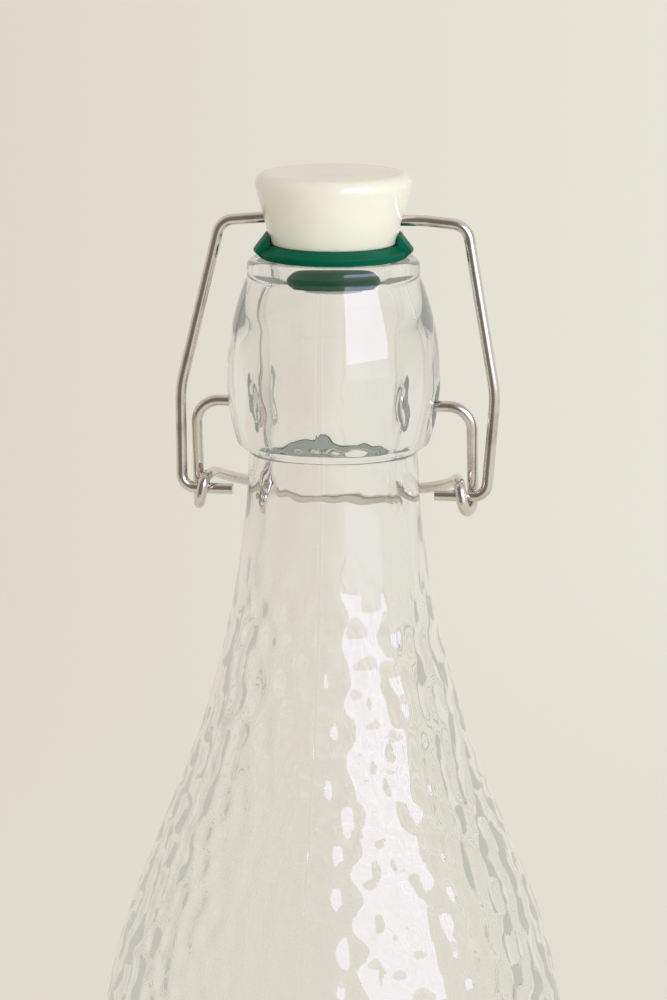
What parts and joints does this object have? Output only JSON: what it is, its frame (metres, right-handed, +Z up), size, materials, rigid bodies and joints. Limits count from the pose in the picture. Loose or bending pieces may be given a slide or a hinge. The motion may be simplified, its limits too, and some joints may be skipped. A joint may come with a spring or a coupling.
{
  "type": "swing top bottle",
  "caption": "Hammered clear glass bottle with a smooth bulged finish, closed by a plastic stopper with a rubber gasket on a steel wire bail and a swinging lever",
  "frame": {"origin": "centre of the stand ring, on the plane that the bottle stands on", "axes": "+Z up along the bottle's axis, X along the lever's pivots, +Y towards the lever's loop behind the neck"},
  "size_m": [0.087, 0.087, 0.3252],
  "materials": {
    "glass": "clear, hammered on the body and smooth at the finish",
    "stopper_plastic": "glossy cream moulding",
    "gasket_rubber": "smooth moulded rubber",
    "bail_wire": "drawn stainless wire",
    "lever_wire": "drawn stainless wire"
  },
  "bodies": {
    "bottle": {"bottle": "glass"},
    "lever": {"lever": "lever_wire"},
    "bail": {"bail": "bail_wire"},
    "stopper": {"stopper": "stopper_plastic", "gasket": "gasket_rubber"}
  },
  "joints": [
    {"name": "lever_swing", "type": "hinge", "parent": "bottle", "child": "lever", "pos_m": [0, 0, 0.2835], "axis": [1, 0, 0], "range_deg": [0, 90]},
    {"name": "bail_swing", "type": "hinge", "parent": "lever", "child": "bail", "pos_m": [0, 0, 0.2673], "axis": [1, 0, 0], "range_deg": [-61, 0]},
    {"name": "stopper_tilt", "type": "hinge", "parent": "bail", "child": "stopper", "pos_m": [0, 0, 0.31685], "axis": [1, 0, 0], "range_deg": [-30, 0]}
  ],
  "couplings": [
    {"joint": "bail_swing", "follows": "lever_swing", "ratio": -0.6731},
    {"joint": "stopper_tilt", "follows": "lever_swing", "ratio": -0.3269}
  ]
}
